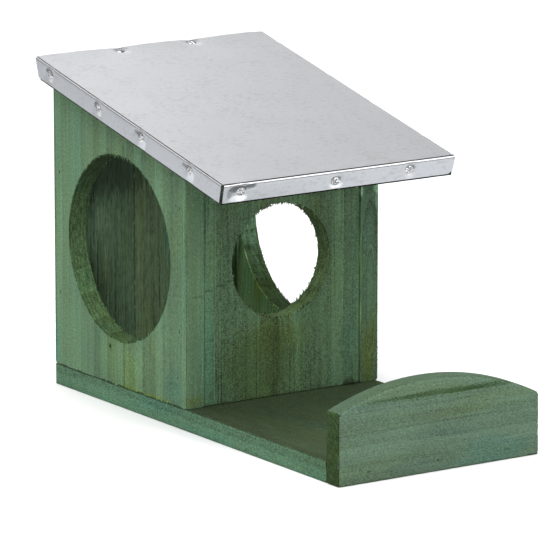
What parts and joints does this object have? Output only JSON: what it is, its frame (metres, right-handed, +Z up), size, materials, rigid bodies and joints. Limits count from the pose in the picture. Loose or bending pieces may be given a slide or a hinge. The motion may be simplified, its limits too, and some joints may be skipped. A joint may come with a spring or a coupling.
{
  "type": "squirrel feeder box",
  "caption": "Green-stained wooden feeder box with round entry holes in its sides and front, a lipped feeding tray and a sloping roof covered with sheet metal.",
  "frame": {"origin": "on the ground, under the middle of the whole length and width", "axes": "+Z up, +Y from the tray towards the back wall, +X to the right seen from the tray"},
  "size_m": [0.1538, 0.283, 0.1896],
  "materials": {
    "side_wall_wood": "weathered green stain",
    "front_wall_wood": "weathered green stain",
    "back_wall_wood": "weathered green stain",
    "base_wood": "weathered green stain",
    "lip_wood": "weathered green stain",
    "roof_wood": "weathered green stain",
    "galvanised_sheet": "satin galvanised",
    "nail_steel": "galvanised"
  },
  "bodies": {
    "root": {"base_board": "base_wood", "tray_lip": "lip_wood", "front_wall": "front_wall_wood", "roof_board": "roof_wood", "left_wall_front_strip": "side_wall_wood", "left_wall_back_strip": "side_wall_wood", "right_wall_front_strip": "side_wall_wood", "right_wall_back_strip": "side_wall_wood", "back_wall_left_strip": "back_wall_wood", "back_wall_right_strip": "back_wall_wood", "roof_sheet": "galvanised_sheet", "sheet_nails_left": "nail_steel", "sheet_nails_right": "nail_steel", "sheet_nails_front": "nail_steel", "sheet_nails_back": "nail_steel", "roof_board_brads_left": "nail_steel", "roof_board_brads_right": "nail_steel", "base_brads_left": "nail_steel", "base_brads_right": "nail_steel", "base_brads_front": "nail_steel", "base_brads_back": "nail_steel", "front_wall_brads_left": "nail_steel", "front_wall_brads_right": "nail_steel", "back_wall_brads_left": "nail_steel", "back_wall_brads_right": "nail_steel", "lip_brads": "nail_steel"}
  },
  "joints": []
}
